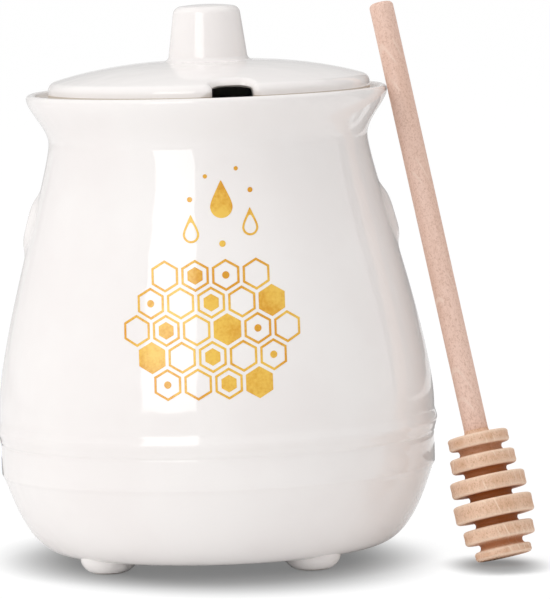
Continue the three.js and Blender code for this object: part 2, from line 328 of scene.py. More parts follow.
def makeFeet():
    s, steps = footShape, footShape["steps"]
    half, bulge = s["height"] / 2, s["radius"] - s["padRadius"]
    side = ovalPoints((s["padRadius"], half), bulge, half, -90, 90, steps["round"])
    outline = [(0, 0), (s["padRadius"] * s["padRing"], 0)] + side + [(0, s["height"])]
    first = drawOutline("footFirst", outline)
    spinOutline(first, steps["spin"])
    editMesh(first)
    selectMesh()
    bpy.ops.mesh.bisect(
        plane_co=(0, 0, s["cutHeight"] * mm), plane_no=(0, 0, 1), use_fill=True, clear_outer=True
    )
    leaveEdit()
    smoothShade(first, s["smoothAngle"])
    feet = []
    for i, name in enumerate(("front_right", "back_right", "back_left", "front_left")):
        foot = first.copy()
        foot.data = first.data.copy()
        foot.name = "foot" + "".join(word.capitalize() for word in name.split("_"))
        foot.data.name = foot.name
        bpy.context.scene.collection.objects.link(foot)
        angle = radians(s["bearing"] + 90 * i)
        foot.location = potAxis + Vector((sin(angle), -cos(angle), 0)) * s["circle"] * mm
        settle(foot)
        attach(foot, "pot")
        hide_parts("foot_" + name)
        feet.append(foot)
    bpy.data.objects.remove(first)
    return feet


# Lid with its notch and knob
lidShape = {
    "radius": 38.2, "edgeHeight": 4.75, "edgeRound": 1.45, "underRound": 0.9,
    "rise": 4.2, "fullness": 2.6, "thickness": 3.3, "seatInner": 33.4, "hollowRadius": 31.2,
    "slot": {"half": 4.75, "end": 28.4, "corner": 4.28, "leftFlare": 5, "rightFlare": 2.5, "turn": 0},
    "hood": {"half": 4.75, "end": 33.1, "corner": 2.9, "leftFlare": 1.6, "rightFlare": 1.6, "turn": -1},
    "notchBearing": 10.2,
    "offAxis": 0.6,  # the loose lid lies a little to the right in its seat
    "leftSpread": 40, "rightSpread": 36,  # degrees of the knob's ring that the notch's lines take
    "knobSeat": 11.2, "underRings": (3, 6, 9),
    "pin": 0.02, "pinReach": 0.03,  # the innermost ring, and what is merged into the middle
    "smoothAngle": 60,
    "steps": {
        "edge": 236, "leftFlare": 20, "corner": 12, "end": 4, "side": 6, "rightFlare": 10,
        "under": 34, "underRound": 5, "rise": 4, "edgeRound": 8, "top": 26,
    },
}
knobShape = {
    "baseRadius": 9.3, "topRadius": 8, "fillet": 1.5, "height": 13.4, "topRound": 2, "crown": 0.4,
    "roundFrom": 3, "roundTo": 80,  # degrees
    "steps": {"fillet": 8, "side": 14, "round": 12, "crown": 8},
}
notchTurn = Matrix.Rotation(radians(lidShape["notchBearing"]), 3, "Z")


def domeHeight(radius):
    s = lidShape
    fall = (radius / (s["radius"] - s["edgeRound"])) ** s["fullness"]
    return ledgeHeight + s["edgeHeight"] + s["rise"] * (1 - fall)


def underHeight(radius):
    s = lidShape
    share = (s["seatInner"] - radius) / (s["seatInner"] - s["hollowRadius"])
    hollow = domeHeight(radius) - s["thickness"]
    return ledgeHeight + (hollow - ledgeHeight) * eased(min(max(share, 0), 1))


def lidPlan(inset, notch="slot"):
    # the lid's edge seen from above, moved inward by the inset, with the notch towards -Y;
    # its underside follows the slot, its top the shallower hood over the slot's end
    s, steps = lidShape[notch], lidShape["steps"]
    half, end, corner, radius = s["half"], s["end"], s["corner"], lidShape["radius"]
    left, right = s["leftFlare"], s["rightFlare"]
    leftX, rightX = -half - left, half + right
    leftY = -sqrt((radius - left) ** 2 - leftX ** 2)
    rightY = -sqrt((radius - right) ** 2 - rightX ** 2)
    leftAngle = degrees(atan2(leftY, leftX)) + 360
    rightAngle = degrees(atan2(rightY, rightX))
    cornerX, cornerY = half - corner, -end - corner
    plan = arcPoints((0, 0), radius - inset, rightAngle, leftAngle, steps["edge"])[:-1]
    plan += arcPoints((leftX, leftY), left - inset, leftAngle, 360, steps["leftFlare"])[:-1]
    plan += arcPoints((-cornerX, cornerY), corner + inset, 180, 90, steps["corner"])[:-1]
    plan += [(-cornerX * (1 - 2 * i / steps["end"]), inset - end) for i in range(steps["end"])]
    plan += arcPoints((cornerX, cornerY), corner + inset, 90, 0, steps["corner"])[:-1]
    for i in range(steps["side"]):
        plan.append((half + inset, cornerY + (rightY - cornerY) * i / steps["side"]))
    plan += arcPoints(
        (rightX, rightY), right - inset, 180, rightAngle + 360, steps["rightFlare"]
    )[:-1]
    turn = Matrix.Rotation(radians(s["turn"]), 3, "Z")
    return [turn @ Vector((x, y, 0)) for x, y in plan]


def knobAngles(plan):
    # where each of the plan's points ends on the knob's ring: spread out by the notch
    s = lidShape
    along = [0.0]
    for a, b in zip(plan, plan[1:] + plan[:1]):
        along.append(along[-1] + (b - a).length)
    last = s["steps"]["edge"]
    spread = radians(s["leftSpread"] + s["rightSpread"])
    start = radians(s["rightSpread"]) - pi / 2
    angles = []
    for i in range(len(plan)):
        if i <= last:
            angles.append(start + (fullTurn - spread) * i / last)
        else:
            share = (along[i] - along[last]) / (along[-1] - along[last])
            angles.append(start + fullTurn - spread + spread * share)
    return angles


def lidRings():
    # rings of points from the middle of the underside round the edge to the knob's foot
    s, steps = lidShape, lidShape["steps"]
    angles = knobAngles(lidPlan(0))

    def ring(radius, height):
        return [Vector((radius * cos(a), radius * sin(a), height)) for a in angles]

    def lifted(plan, heightAt, lift=0):
        return [Vector((p.x, p.y, heightAt(hypot(p.x, p.y)) + lift)) for p in plan]

    def between(outer, share, heightAt):
        inner = ring(s["knobSeat"], 0)
        plan = [a.lerp(b, share) for a, b in zip(outer, inner)]
        return lifted(plan, heightAt)

    rings = [ring(r, underHeight(r)) for r in (s["pin"], *s["underRings"], s["knobSeat"])]
    outer, count = lidPlan(s["underRound"]), steps["under"]
    rings += [between(outer, 1 - i / count, underHeight) for i in range(1, count + 1)]
    for i in range(1, steps["underRound"] + 1):
        angle = radians(90 * i / steps["underRound"])
        inset = s["underRound"] * (1 - sin(angle))
        rings.append(lifted(lidPlan(inset), underHeight, s["underRound"] * (1 - cos(angle))))
    low, top = rings[-1], lifted(lidPlan(0, "hood"), domeHeight, -s["edgeRound"])
    for i in range(1, steps["rise"] + 1):
        rings.append([a.lerp(b, i / steps["rise"]) for a, b in zip(low, top)])
    for i in range(1, steps["edgeRound"] + 1):
        angle = radians(90 * i / steps["edgeRound"])
        plan = lidPlan(s["edgeRound"] * (1 - cos(angle)), "hood")
        rings.append(lifted(plan, domeHeight, s["edgeRound"] * (sin(angle) - 1)))
    outer, count = lidPlan(s["edgeRound"], "hood"), steps["top"]
    rings += [between(outer, i / count, domeHeight) for i in range(1, count + 1)]
    return rings, ring


def knobOutline():
    k, steps = knobShape, knobShape["steps"]
    seat = domeHeight(lidShape["knobSeat"])
    top = seat + k["height"]
    flare = (k["baseRadius"] + k["fillet"], seat + k["fillet"])
    corner = (k["topRadius"] - k["topRound"], top - k["topRound"] - k["crown"])
    points = arcPoints(flare, k["fillet"], 270, 180, steps["fillet"])
    shoulder = arcPoints(corner, k["topRound"], k["roundFrom"], k["roundTo"], steps["round"])
    foot, head = points[-1], shoulder[0]
    for i in range(1, steps["side"]):
        share = i / steps["side"]
        points.append((foot[0] + (head[0] - foot[0]) * share, foot[1] + (head[1] - foot[1]) * share))
    return points + shoulder + crownPoints(shoulder[-1], top, steps["crown"])[:-1]


def makeLid():
    s = lidShape
    rings, ring = lidRings()
    rings += [ring(max(r, s["pin"]), z) for r, z in knobOutline()]
    bpy.ops.mesh.primitive_circle_add(vertices=len(rings[0]), radius=mm)
    obj = bpy.context.object
    obj.name = obj.data.name = "lidBody"
    bm = editMesh(obj)
    place = bm.verts.layers.int.new("place")
    bm.verts.ensure_lookup_table()
    for i, v in enumerate(bm.verts):
        v[place] = i
        v.co = notchTurn @ rings[0][i] * mm
    bmesh.update_edit_mesh(obj.data)
    selectMesh()
    for points in rings[1:]:
        bpy.ops.mesh.extrude_region_move()
        bm = bmesh.from_edit_mesh(obj.data)
        place = bm.verts.layers.int["place"]
        for v in bm.verts:
            if v.select:
                v.co = notchTurn @ points[v[place]] * mm
        bmesh.update_edit_mesh(obj.data)
    bpy.ops.mesh.merge(type="CENTER")  # the crown's middle
    bpy.ops.mesh.select_all(action="DESELECT")
    bm = bmesh.from_edit_mesh(obj.data)
    for v in bm.verts:
        v.select = v.co.z < domeHeight(0) * mm and v.co.xy.length < s["pinReach"] * mm
    bm.select_flush_mode()
    bmesh.update_edit_mesh(obj.data)
    bpy.ops.mesh.merge(type="CENTER")  # and the middle of the underside
    selectMesh()
    bpy.ops.mesh.normals_make_consistent(inside=False)
    leaveEdit()
    obj.data.attributes.remove(obj.data.attributes["place"])
    onPotAxis(obj, s["offAxis"])
    smoothShade(obj, s["smoothAngle"])
    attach(obj, "lid")
    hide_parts("lid_dome", "lid_knob")
    return obj


ringShape = {
    "outerRadius": 33.6, "thickness": 2.6, "reach": 7, "seatStep": 2.55, "round": 0.9,
    "halfOpening": 6.25, "bevel": 0.5, "bevelAngle": 60, "smoothAngle": 40,
    "steps": {"spin": 180, "side": 6, "round": 6, "bevel": 3},
}


def makeLidRing():
    # a C-shaped ring, open where the notch is
    s, steps = ringShape, ringShape["steps"]
    r, outer = s["round"], s["outerRadius"]
    inner = outer - s["thickness"]
    top, bottom = ledgeHeight + s["seatStep"], ledgeHeight - s["reach"]
    rise, count = top - bottom - r, steps["side"]
    outline = [(inner, top - rise * i / count) for i in range(count)]
    outline += arcPoints((inner + r, bottom + r), r, 180, 270, steps["round"])
    outline += arcPoints((outer - r, bottom + r), r, -90, 0, steps["round"])
    outline += [(outer, bottom + r + rise * i / count) for i in range(1, count + 1)]
    obj = drawOutline("lidRing", outline)
    opening = 2 * asin(s["halfOpening"] / (outer - s["thickness"] / 2))
    selectMesh()
    bpy.ops.mesh.edge_face_add()
    spinOutline(obj, steps["spin"], fullTurn - opening)
    middle = sum((v.co for v in obj.data.vertices), Vector()) / len(obj.data.vertices)
    wanted = radians(90 + lidShape["notchBearing"])
    obj.rotation_euler.z = wanted - atan2(middle.y, middle.x)
    bevel = obj.modifiers.new("softEnds", "BEVEL")
    bevel.width, bevel.segments = s["bevel"] * mm, steps["bevel"]
    bevel.angle_limit = radians(s["bevelAngle"])
    applyModifier(obj, "softEnds")
    onPotAxis(obj, lidShape["offAxis"])
    smoothShade(obj, s["smoothAngle"])
    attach(obj, "lid")
    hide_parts("lid_locating_ring")
    return obj


# Dipper: turned about its own axis first, then leaned into place
dipperShape = {
    "foot": (55.823, -27.298, 1.555), "top": (31.107, -2.462, 131.324),  # ends of its axis
    "length": 134.36, "handleRadius": 2.85, "handleRound": 1.1, "roundTo": 82,
    "spigotRadius": 2.2, "spigotLength": 11, "gap": 0.3, "shoulderGap": 0.02,
    "headLength": 30.6, "headRadius": 9.36, "coreRadius": 5.01, "tipFlat": 0.35,
    "ringRadii": (0.72, 0.89, 1, 0.953, 0.826, 0.768),  # shares of headRadius, from the tip up
    "ringThickness": (0.073, 0.11, 0.14, 0.123, 0.113, 0.097),  # shares of headLength
    "ringRound": 0.7, "tipRound": 0.9, "ringFace": 8, "ringHollow": 0.06,
    "collarHeight": 1.1, "collarRadius": 3.2, "collarFoot": 0.5, "collarTop": 0.7,
    "grooveDepths": (0.85, 0.98, 1, 0.95, 0.66),  # how dark each groove is, from the tip up: darker wood there and painted shade
    "grooveShadeRamp": (0.85, 0.15),  # the painted shade's share at a groove's foot, and what its top, under the next ring, adds
    # grooveRim and slack bound the painted groove shade; edgeDepth and edgePeak place the painted
    # highlight on the rings' corners
    "grooveRim": 0.9, "slack": 0.05, "edgeDepth": 0.1, "edgePeak": 0.35,
    "smoothAngle": 35,
    "steps": {"spin": 72, "handle": 60, "round": 9, "crown": 4, "ring": 6, "groove": 12, "collar": 6},
}
dipperFoot = Vector(dipperShape["foot"]) * mm
dipperWay = (Vector(dipperShape["top"]) * mm - dipperFoot).normalized()
dipperTurn = Vector((0, 0, 1)).rotation_difference(dipperWay)


def leanDipper(obj):
    obj.rotation_mode = "QUATERNION"
    obj.rotation_quaternion = dipperTurn
    obj.location = dipperFoot
    settle(obj)


def handleOutline():
    s, steps = dipperShape, dipperShape["steps"]
    low, shoulder = s["headLength"] - s["spigotLength"], s["headLength"] + s["shoulderGap"]
    radius, r, count = s["handleRadius"], s["handleRound"], steps["handle"]
    points = [(0, low), (s["spigotRadius"], low), (s["spigotRadius"], shoulder)]
    long = s["length"] - r - shoulder
    points += [(radius, shoulder + long * i / count) for i in range(count)]
    points += arcPoints((radius - r, s["length"] - r), r, 0, s["roundTo"], steps["round"])
    return points + crownPoints(points[-1], s["length"], steps["crown"])


def headRings():
    # the foot, the top and the radius of each ring, and the width of a groove
    s = dipperShape
    length = s["headLength"]
    solid = sum(s["ringThickness"]) * length
    groove = (length - solid - s["collarHeight"]) / len(s["grooveDepths"])
    rings, height = [], 0
    for share, thick in zip(s["ringRadii"], s["ringThickness"]):
        top = height + length * thick
        rings.append((height, top, s["headRadius"] * share))
        height = top + groove
    return rings, groove


def headOutline():
    s, steps = dipperShape, dipperShape["steps"]
    length, r, face = s["headLength"], s["ringRound"], s["ringFace"]
    rings, groove = headRings()
    half = groove / 2
    points = [(0, 0), (s["headRadius"] * s["tipFlat"], 0)]
    for i, (height, top, radius) in enumerate(rings):
        foot = s["tipRound"] if i == 0 else r
        points += arcPoints((radius - foot, height + foot), foot, -90, -face, steps["ring"])
        points.append((radius - s["ringHollow"], (height + top) / 2))
        points += arcPoints((radius - r, top - r), r, face, 90, steps["ring"])
        if i < len(rings) - 1:
            points += arcPoints((s["coreRadius"] + half, top + half), half, 270, 90, steps["groove"])
    bore = s["spigotRadius"] + s["gap"]
    floor = length - s["spigotLength"] - s["gap"]
    collar = length - s["collarHeight"]
    points += curvePoints(
        (s["collarRadius"] + s["collarFoot"], collar), (s["collarRadius"], collar),
        (s["handleRadius"], length - s["collarTop"]), (s["handleRadius"], length), steps["collar"]
    )
    return points + [(bore, length), (bore, floor), (0, floor)]


def paintHead(obj):
    # two painted tones for the wood: painted shade, over somewhat darker wood, by how deep in a groove a
    # point is, and a painted highlight by how near a ring's corner it is
    s = dipperShape
    rings, groove = headRings()
    foot, gain = s["grooveShadeRamp"]
    # painted shade in the grooves, over wood that is darker there
    deep = obj.data.attributes.new("grooveShade", "FLOAT", "POINT")
    # painted highlight on the rings' rounded corners
    edge = obj.data.attributes.new("edgeShade", "FLOAT", "POINT")
    for v in obj.data.vertices:
        radius, z = hypot(v.co.x, v.co.y) / mm, v.co.z / mm
        for i, (low, high, outer) in enumerate(rings):
            corner = min(abs(z - low), abs(z - high))
            if corner < s["ringRound"] and radius > outer - s["ringRound"] - s["edgeDepth"]:
                # painted highlight, palest partway round the rounded corner
                edge.data[v.index].value = 1 - abs(corner / s["ringRound"] - s["edgePeak"])
            if i < len(rings) - 1 and high - s["slack"] <= z <= high + groove + s["slack"]:
                rim = outer - s["grooveRim"]
                sunk = min(max((rim - radius) / (rim - s["coreRadius"]), 0), 1)
                under = foot + gain * (z - high) / groove  # painted shade, darkest under the next ring
                deep.data[v.index].value = s["grooveDepths"][i] * sunk * under


def makeDipper():
    s = dipperShape
    handle = spinOutline(drawOutline("dipperHandle", handleOutline()), s["steps"]["spin"])
    head = spinOutline(drawOutline("dipperHead", headOutline()), s["steps"]["spin"])
    paintHead(head)
    pieces = (handle, "dipper_handle", "beech_handle"), (head, "dipper_head", "beech_head")
    for obj, node, wood in pieces:
        leanDipper(obj)
        smoothShade(obj, s["smoothAngle"])
        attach(obj, "dipper")
        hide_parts(node)
    return handle, head


# Gold print: a plain honeycomb with drops and dots over it, laid on the wall
printShape = {
    "height": 59, "pitch": 7.1, "cell": 3.66, "line": 0.54, "lift": 0.05, "thickness": 0.1,
    "slant": 1.155,  # a line's width over a corner, as a share of its width
    "rows": ("ohdo", "dohoc", "ohocdo", "cohod", "dohc"),  # o open, d dotted, h half, c closed
    "dotted": 0.85, "halfCell": 0.55,
    "drops": (
        (3, 86.8, (5.2, 8.6), False), (-4.2, 80.6, (3.8, 6.4), True), (9.6, 81.9, (3.8, 6.4), True)
    ),
    "dropLine": 0.5, "dropFill": 0.45, "dropPinch": 0.35,
    "dots": ((3, 78.4, 0.75), (-4.3, 88.6, 0.6), (9.8, 90.4, 0.6), (-0.6, 93.8, 0.5), (6.6, 95.4, 0.5)),
    "cuts": 3, "dotSides": 20, "dropSides": 40, "smoothAngle": 30,
}


def flatHexagon(radius, hole=0.0):
    bpy.ops.mesh.primitive_circle_add(vertices=6, radius=radius * mm, fill_type="NGON")
    obj = bpy.context.object
    editMesh(obj)
    selectMesh()
    if hole:
        bpy.ops.mesh.inset(thickness=(radius - hole) * cos(pi / 6) * mm)
        bpy.ops.mesh.delete(type="ONLY_FACE")
        selectMesh()
    else:
        bpy.ops.mesh.poke()
    bpy.ops.mesh.subdivide(number_cuts=printShape["cuts"])
    leaveEdit()
    return obj


def flatDot(radius):
    sides = printShape["dotSides"]
    bpy.ops.mesh.primitive_circle_add(vertices=sides, radius=radius * mm, fill_type="TRIFAN")
    return bpy.context.object


def flatDrop(width, height, hole=False):
    # a disc whose upper half is drawn out to a point
    s, half = printShape, width / 2
    bpy.ops.mesh.primitive_circle_add(vertices=s["dropSides"], radius=half * mm, fill_type="NGON")
    obj = bpy.context.object
    editMesh(obj)
    selectMesh()
    bpy.ops.mesh.inset(thickness=s["dropLine"] * mm)
    if hole:
        bpy.ops.mesh.delete(type="ONLY_FACE")
    else:
        bpy.ops.mesh.inset(thickness=(half - s["dropLine"]) * s["dropFill"] * mm)
        bpy.ops.mesh.poke()
    bm = bmesh.from_edit_mesh(obj.data)
    for v in bm.verts:
        if v.co.y > 0:
            share = v.co.y / (half * mm)
            v.co.x *= 1 - share ** 2 * s["dropPinch"] * (1 + share)
            v.co.y *= 1 + (2 * height / width - 2) * share
    bmesh.update_edit_mesh(obj.data)
    leaveEdit()
    return obj


def layOnWall(obj):
    # flat x and y become a bearing round the pot and a height on its wall
    s = printShape
    editMesh(obj)
    selectMesh()
    bpy.ops.mesh.remove_doubles(threshold=weldReach)
    bm = bmesh.from_edit_mesh(obj.data)
    for v in bm.verts:
        radius = wallRadius(v.co.y / mm)
        angle = v.co.x / mm / radius
        out = (radius + s["lift"]) * mm
        v.co = (out * sin(angle), -out * cos(angle), v.co.y)
    bmesh.update_edit_mesh(obj.data)
    selectMesh()
    bpy.ops.mesh.normals_make_consistent(inside=False)
    leaveEdit()
    bm = bmesh.new()
    bm.from_mesh(obj.data)
    for face in bm.faces:
        middle = face.calc_center_median()
        if face.normal.dot(Vector((middle.x, middle.y, 0))) < 0:
            face.normal_flip()
    bm.to_mesh(obj.data)
    bm.free()
    solid = obj.modifiers.new("printThickness", "SOLIDIFY")
    solid.thickness, solid.offset = s["thickness"] * mm, -1
    applyModifier(obj, "printThickness")
    onPotAxis(obj)
    smoothShade(obj, s["smoothAngle"])


def joinAs(name, parts):
    bpy.ops.object.select_all(action="DESELECT")
    for part in parts:
        part.select_set(True)
    bpy.context.view_layer.objects.active = parts[0]
    bpy.ops.object.join()
    obj = bpy.context.object
    obj.name = obj.data.name = name
    return obj


def placeFlat(obj, x, y):
    obj.location = (x * mm, y * mm, 0)
    settle(obj)
    return obj


def makePrint():
    s = printShape
    rise, cell = s["pitch"] * sqrt(3) / 2, s["cell"]
    parts = []
    for row, kinds in enumerate(s["rows"]):
        y = s["height"] + (2 - row) * rise
        for i, kind in enumerate(kinds):
            x = (i - (len(kinds) - 1) / 2) * s["pitch"]
            if kind == "c":
                parts.append(placeFlat(flatHexagon(cell), x, y))
                continue
            parts.append(placeFlat(flatHexagon(cell, cell - s["line"] * s["slant"]), x, y))
            if kind == "d":
                parts.append(placeFlat(flatDot(s["dotted"]), x, y))
            if kind == "h":
                parts.append(placeFlat(flatHexagon(cell * s["halfCell"]), x, y))
    comb = joinAs("goldHoneycomb", parts)
    parts = [placeFlat(flatDrop(*size, hole), x, y) for x, y, size, hole in s["drops"]]
    parts += [placeFlat(flatDot(size), x, y) for x, y, size in s["dots"]]
    drops = joinAs("goldDrops", parts)
    for obj in (comb, drops):
        layOnWall(obj)
        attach(obj, "pot")
    return comb, drops


# Materials
def newMaterial(name):
    material = bpy.data.materials.new(name)
    material.use_nodes = True
    return material, material.node_tree, material.node_tree.nodes["Principled BSDF"]


def feed(tree, node, inputs):
    # each input gets a value or another node's output
    for name, value in inputs.items():
        if isinstance(value, bpy.types.NodeSocket):
            tree.links.new(value, node.inputs[name])
        else:
            node.inputs[name].default_value = value


def addNode(tree, kind, inputs, **settings):
    node = tree.nodes.new("ShaderNode" + kind)
    for name, value in settings.items():
        setattr(node, name, value)
    feed(tree, node, inputs)
    return node.outputs


def noiseNode(tree, vector, scale, detail, roughness=0.5):
    inputs = {"Vector": vector, "Scale": scale, "Detail": detail, "Roughness": roughness}
    return addNode(tree, "TexNoise", inputs)["Fac"]


def mapRange(tree, value, low, high, toLow, toHigh):
    inputs = {"Value": value, "From Min": low, "From Max": high, "To Min": toLow, "To Max": toHigh}
    return addNode(tree, "MapRange", inputs, interpolation_type="SMOOTHSTEP")["Result"]


def mathNode(tree, operation, *values):
    return addNode(tree, "Math", dict(enumerate(values)), operation=operation)[0]


def mixColour(tree, share, first, second):
    return addNode(tree, "Mix", {0: share, 6: first, 7: second}, data_type="RGBA")[2]


def bumpNode(tree, height, strength, distance, after=None):
    inputs = {"Height": height, "Strength": strength, "Distance": distance}
    if after is not None:
        inputs["Normal"] = after
    return addNode(tree, "Bump", inputs)["Normal"]


def bandMask(tree, value, low, high):
    # one between two lengths in millimetres, softly none outside
    soft = 0.08
    above = mapRange(tree, value, (low - soft) * mm, (low + soft) * mm, 0, 1)
    below = mapRange(tree, value, (high - soft) * mm, (high + soft) * mm, 1, 0)
    return mathNode(tree, "MULTIPLY", above, below)


def fromHex(code):
    # a tone of the picture as the light it stands for
    values = [int(code[i:i + 2], 16) / 255 for i in (0, 2, 4)]
    return (*(v / 12.92 if v <= 0.04045 else ((v + 0.055) / 1.055) ** 2.4 for v in values), 1)


# In the looks a noise is its scale, detail and roughness, and a bump its strength and distance.
noiseSpan = (0.3, 0.7)  # where most of a noise's values lie
glazeLook = {
    "colour": "f6f2f0", "shade": "f3eeec", "cloud": (38, 3), "cloudSpan": (0.35, 0.7),
    # bare clay's colour, also used as painted shade for the gap between the lid and the rim
    "clay": "d2c8bd", "grit": "c3b8aa", "gritNoise": (2600, 2), "clayRough": 0.7,
    "footSpan": (0.21 * mm, 0.49 * mm),  # the heights between which bare clay gives way to glaze
    # where the lid sits: bare clay on the seat, and painted shade on the lid's edge up to the rim's top;
    # heights from the ledge, radii from the axis
    "seatAndGapShadeHeights": (-0.3, 1.95), "seatAndGapShadeRadii": (34.2, 39.4),
    "fine": (160, 2), "roughness": (0.04, 0.075), "ior": 1.52,
    "waves": (130, 1), "waveBump": (1, 0.12 * mm), "pores": (420, 1), "poreBump": (0.5, 0.0012 * mm),
}


def glazeMaterial():
    s = glazeLook
    material, tree, shader = newMaterial("porcelainGlaze")
    place = addNode(tree, "TexCoord", {})["Object"]
    split = addNode(tree, "SeparateXYZ", {0: place})
    cloud = noiseNode(tree, place, *s["cloud"])
    share = mapRange(tree, cloud, *s["cloudSpan"], 0, 1)
    colour = mixColour(tree, share, fromHex(s["colour"]), fromHex(s["shade"]))
    across = mathNode(tree, "SUBTRACT", split["X"], potAxis.x)
    flat = addNode(tree, "CombineXYZ", {"X": across, "Y": split["Y"]})[0]
    radius = addNode(tree, "VectorMath", {0: flat}, operation="LENGTH")["Value"]
    # bare clay on the seat, with painted shade of the gap on the lid's edge below the rim's top
    low, high = s["seatAndGapShadeHeights"]
    seat = bandMask(tree, split["Z"], ledgeHeight + low, ledgeHeight + high)
    seat = mathNode(tree, "MULTIPLY", seat, bandMask(tree, radius, *s["seatAndGapShadeRadii"]))
    foot = mapRange(tree, split["Z"], *s["footSpan"], 1, 0)
    # bare clay on the feet's pads and the seat, and the painted gap shade, all in the clay colour
    bareClayAndGapShade = mathNode(tree, "MAXIMUM", foot, seat)
    grit = noiseNode(tree, place, *s["gritNoise"])
    clay = mixColour(tree, grit, fromHex(s["clay"]), fromHex(s["grit"]))
    fine = noiseNode(tree, place, *s["fine"])
    glossy = mapRange(tree, fine, *noiseSpan, *s["roughness"])
    waves = bumpNode(tree, noiseNode(tree, place, *s["waves"]), *s["waveBump"])
    feed(tree, shader, {
        "Base Color": mixColour(tree, bareClayAndGapShade, colour, clay),
        "Roughness": addNode(tree, "Mix", {0: bareClayAndGapShade, 2: glossy, 3: s["clayRough"]})[0],
        "Normal": bumpNode(tree, noiseNode(tree, place, *s["pores"]), *s["poreBump"], waves),
        "IOR": s["ior"],
    })
    return material


goldLook = {
    "light": "f2c653", "dark": "dc9a22", "blotch": (90, 3), "speck": (1400, 2), "speckShare": 0.35,
    "darkSpan": (0.5, 0.85), "roughness": (0.128, 0.224), "bump": (0.4, 0.004 * mm), "ior": 1.5,
}


def goldMaterial():
    s = goldLook
    material, tree, shader = newMaterial("goldPrint")
    place = addNode(tree, "TexCoord", {})["Object"]
    blotch = noiseNode(tree, place, *s["blotch"])
    speck = noiseNode(tree, place, *s["speck"])
    share = mathNode(tree, "MULTIPLY_ADD", speck, s["speckShare"], blotch)
    dark = mapRange(tree, share, *s["darkSpan"], 0, 1)
    feed(tree, shader, {
        "Base Color": mixColour(tree, dark, fromHex(s["light"]), fromHex(s["dark"])),
        "Roughness": mapRange(tree, speck, *noiseSpan, *s["roughness"]),
        "Normal": bumpNode(tree, speck, *s["bump"]),
        "IOR": s["ior"],
    })
    return material


woodLook = {
    "handle": {
        "light": "edccbc", "dark": "e4c1af", "fleck": "c59a83", "groove": "e4c1af", "edge": "f0d6c6"
    },
    "head": {
        # groove: darker wood under painted shade; edge: painted highlight on the ring corners, and the
        # growth lines
        "light": "e8c2a7", "dark": "dbb091", "fleck": "b58762", "groove": "a25a20", "edge": "f6dec8"
    },
    "layers": {  # grain along the axis, noise, span that shows, most, colour
        "rings": (0.1, (300, 3, 0.6), (0.35, 0.68), 1, "dark"),
        "fibre": (0.35, (2600, 3, 0.65), (0.45, 0.75), 0.4, "fleck"),
        "fleck": (0.8, (2700, 2, 0.7), (0.5, 0.68), 0.6, "fleck"),
    },
    "growth": {"Scale": 230, "Distortion": 5, "Detail": 1, "Detail Scale": 0.6},
    "growthGrain": 0.35, "growthSpan": (0.88, 0.99),
    "patch": (130, 1), "patchSpan": (0.52, 0.62), "patchMost": 0.55,
    # how much of the painted highlight on ring corners and of the painted groove shade shows
    "painted": {"edge": 0.6, "groove": 1},
    "roughness": (0.5, 0.7), "fibreBump": (0.6, 0.03 * mm), "fleckBump": (0.4, 0.02 * mm), "ior": 1.45,
}


def woodMaterial(name, look):
    s = woodLook
    material, tree, shader = newMaterial(name)
    place = addNode(tree, "TexCoord", {})["Object"]
    lean = {"Vector": place, "Location": dipperFoot, "Rotation": dipperTurn.to_euler()}
    local = addNode(tree, "Mapping", lean, vector_type="TEXTURE")[0]  # along the dipper's axis

    def stretched(grain):
        return addNode(tree, "Mapping", {"Vector": local, "Scale": (1, 1, grain)})[0]

    base, noises = fromHex(look["light"]), {}
    for layer, (grain, noise, span, most, colour) in s["layers"].items():
        noises[layer] = noiseNode(tree, stretched(grain), *noise)
        share = mapRange(tree, noises[layer], *span, 0, most)
        base = mixColour(tree, share, base, fromHex(look[colour]))
    growth = {"Vector": stretched(s["growthGrain"]), **s["growth"]}  # thin curved lines, in patches
    lines = addNode(tree, "TexWave", growth, bands_direction="DIAGONAL")["Fac"]
    line = mapRange(tree, lines, *s["growthSpan"], 0, 1)
    cloud = noiseNode(tree, local, *s["patch"])
    patch = mapRange(tree, cloud, *s["patchSpan"], 0, s["patchMost"])
    base = mixColour(tree, mathNode(tree, "MULTIPLY", patch, line), base, fromHex(look["edge"]))
    # the head's painted shade in its grooves and painted highlight on its ring corners
    for painted, most in s["painted"].items():
        shade = addNode(tree, "Attribute", {}, attribute_name=painted + "Shade")["Fac"]
        share = mapRange(tree, shade, 0, 1, 0, most)
        base = mixColour(tree, share, base, fromHex(look[painted]))
    fibres = bumpNode(tree, noises["fibre"], *s["fibreBump"])
    feed(tree, shader, {
        "Base Color": base,
        "Roughness": mapRange(tree, noises["fibre"], *noiseSpan, *s["roughness"]),
        "Normal": bumpNode(tree, noises["fleck"], *s["fleckBump"], fibres),
        "IOR": s["ior"],
    })
    return material


def dress(objects, material):
    for obj in objects:
        obj.data.materials.clear()
        obj.data.materials.append(material)


# Stage
stageLook = {
    "target": (14.7, 0, 61.4), "distance": 1400, "pitch": 4.9, "roll": 1.81,
    "lens": 353.4, "sensor": 36, "clip": (0.05, 20), "world": 0.84,
    "floorSize": 24, "floorDrop": 0.05 * mm, "floorRough": 0.8,
    "floorLit": (0.1, 0.1, 0.1, 1), "floorPale": (0.93, 0.93, 0.93, 1),  # to the camera, to the rest
    "floorGlow": 0.93,
    "samples": 16, "shadeReach": 12 * mm, "shadeShare": 0.25,
    "nearSpan": (0.94, 0.985),  # openness at which something stands near, and at which nothing does
    "shadeSlope": 0.33,  # the shades lie level in the picture, though the camera is rolled
    "toneCurve": 2.2,  # depths are shares of the picture's tone
}
